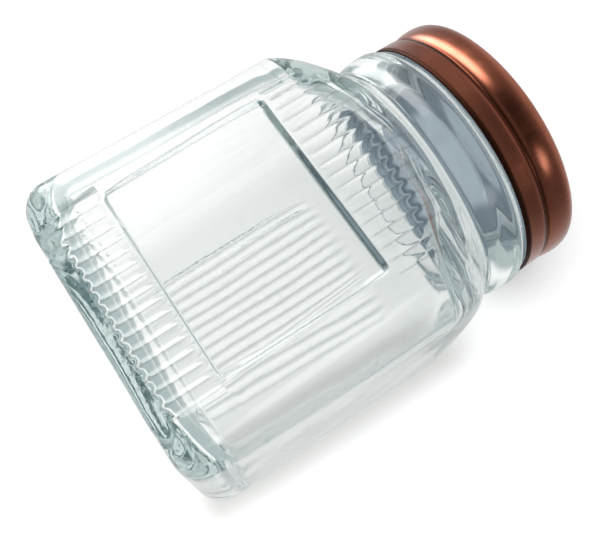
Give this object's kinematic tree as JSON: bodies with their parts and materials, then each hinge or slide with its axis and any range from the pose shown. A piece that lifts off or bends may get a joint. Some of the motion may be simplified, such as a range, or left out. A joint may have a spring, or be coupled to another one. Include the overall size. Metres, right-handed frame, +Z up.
{
  "type": "airtight glass jar",
  "caption": "Square clear-glass storage jar with fluted front and back, a recessed front panel, a thick collar and a copper-coloured metal screw lid with a sealing ring.",
  "frame": {"origin": "centre of the foot, on the surface that the jar stands on", "axes": "+Z up out of the mouth, along the lid's screw axis; -Y out of the fluted front panel; +X to the right seen from the front"},
  "size_m": [0.1, 0.1, 0.1433],
  "materials": {
    "clear_glass": "clear, with a pale aqua tint in thick edges",
    "copper_lid": "copper-coloured metallic lacquer on pressed steel, satin gloss",
    "sealing_ring": "translucent white silicone, matte"
  },
  "bodies": {
    "jar": {"glass_jar": "clear_glass"},
    "seal": {"seal_ring": "sealing_ring"},
    "lid": {"lid_cap": "copper_lid"}
  },
  "joints": [
    {"name": "lid_rise", "type": "slide", "parent": "jar", "child": "seal", "axis": [0, 0, 1], "range_m": [0, 0.02]},
    {"name": "lid_turn", "type": "hinge", "parent": "seal", "child": "lid", "pos_m": [0, 0, 0.134], "axis": [0, 0, 1], "range_deg": [0, 1440]}
  ],
  "couplings": [
    {"joint": "lid_rise", "follows": "lid_turn", "m_per_rad": 0.00079577}
  ]
}
